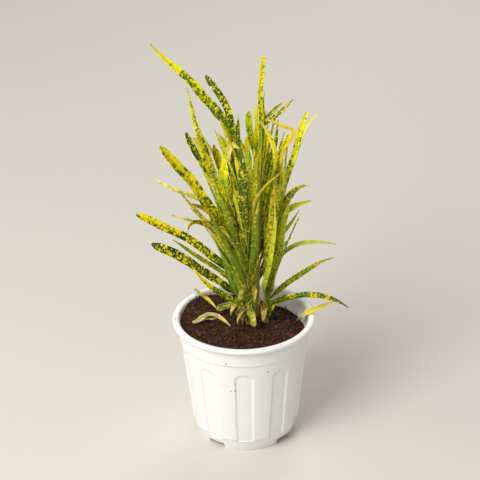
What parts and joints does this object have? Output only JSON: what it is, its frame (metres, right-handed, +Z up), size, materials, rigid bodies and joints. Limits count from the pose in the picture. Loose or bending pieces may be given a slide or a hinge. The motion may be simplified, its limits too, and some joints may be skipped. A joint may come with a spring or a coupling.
{
  "type": "potted plant",
  "caption": "Narrow-leaved croton with upright yellow-spotted leaves, rooted in a white fluted nursery pot of dark potting soil.",
  "frame": {"origin": "middle of the bounding box in plan, on the standing surface under the pot's feet", "axes": "+Z up along the plant, -Y towards the viewer of the picture, +X to the viewer's right"},
  "size_m": [0.2339, 0.1611, 0.4823],
  "materials": {
    "pot_plastic": "satin moulded polypropylene",
    "potting_mix": "matte, granular",
    "foliage": "satin",
    "dry_leaf": "matte",
    "yellow_leaf": "satin"
  },
  "bodies": {
    "root": {"pot": "pot_plastic", "potting_soil": "potting_mix", "leafy_stem_left": "foliage", "leafy_stem_front": "foliage", "leafy_stem_right": "foliage", "leafy_stem_back": "foliage", "fallen_leaf_curled": "dry_leaf", "fallen_leaf_leaning": "yellow_leaf", "fallen_leaf_rim": "yellow_leaf"}
  },
  "joints": []
}
